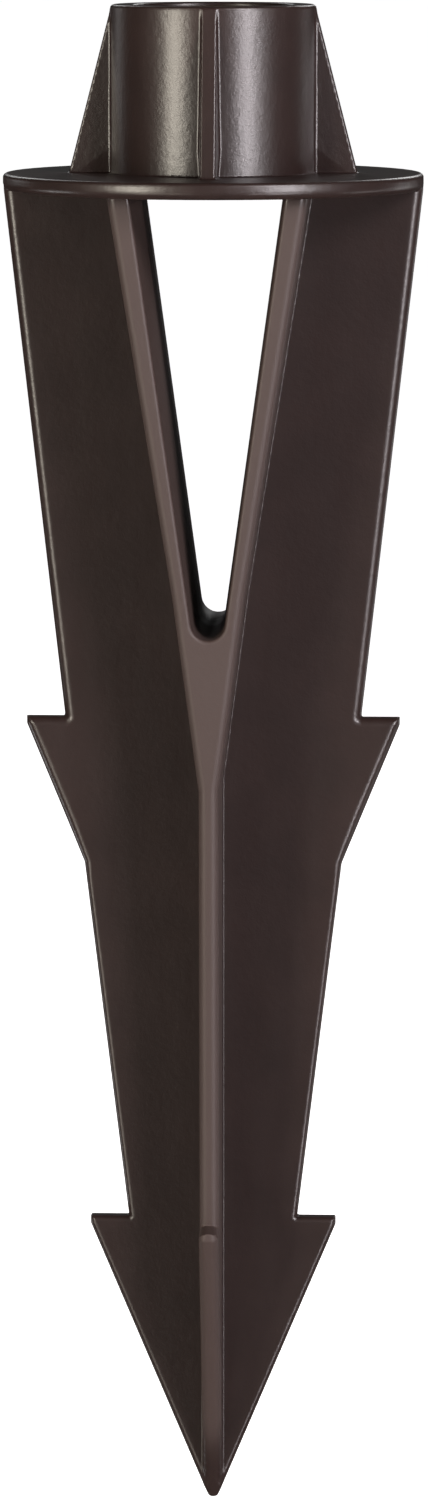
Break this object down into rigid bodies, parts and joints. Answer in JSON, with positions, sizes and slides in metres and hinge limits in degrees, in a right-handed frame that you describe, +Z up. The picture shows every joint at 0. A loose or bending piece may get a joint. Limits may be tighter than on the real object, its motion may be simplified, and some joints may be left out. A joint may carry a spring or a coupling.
{
  "type": "post anchor spike",
  "caption": "Barbed cross-fin ground stake with a round flange, a ribbed hub holding a pipe-threaded insert, and a V-shaped wire window under the flange.",
  "frame": {"origin": "centre of the flange's underside, which is the ground line", "axes": "+Z up along the stake's axis out of the hub's mouth, X along the barbed side fins, Y through the wire window"},
  "size_m": [0.07, 0.07, 0.2533],
  "materials": {
    "bronze_plastic": "fine-grained semi-matte dark bronze moulding",
    "brass": "machined brass"
  },
  "bodies": {
    "root": {"stake_body": "bronze_plastic", "threaded_insert": "brass"}
  },
  "joints": []
}
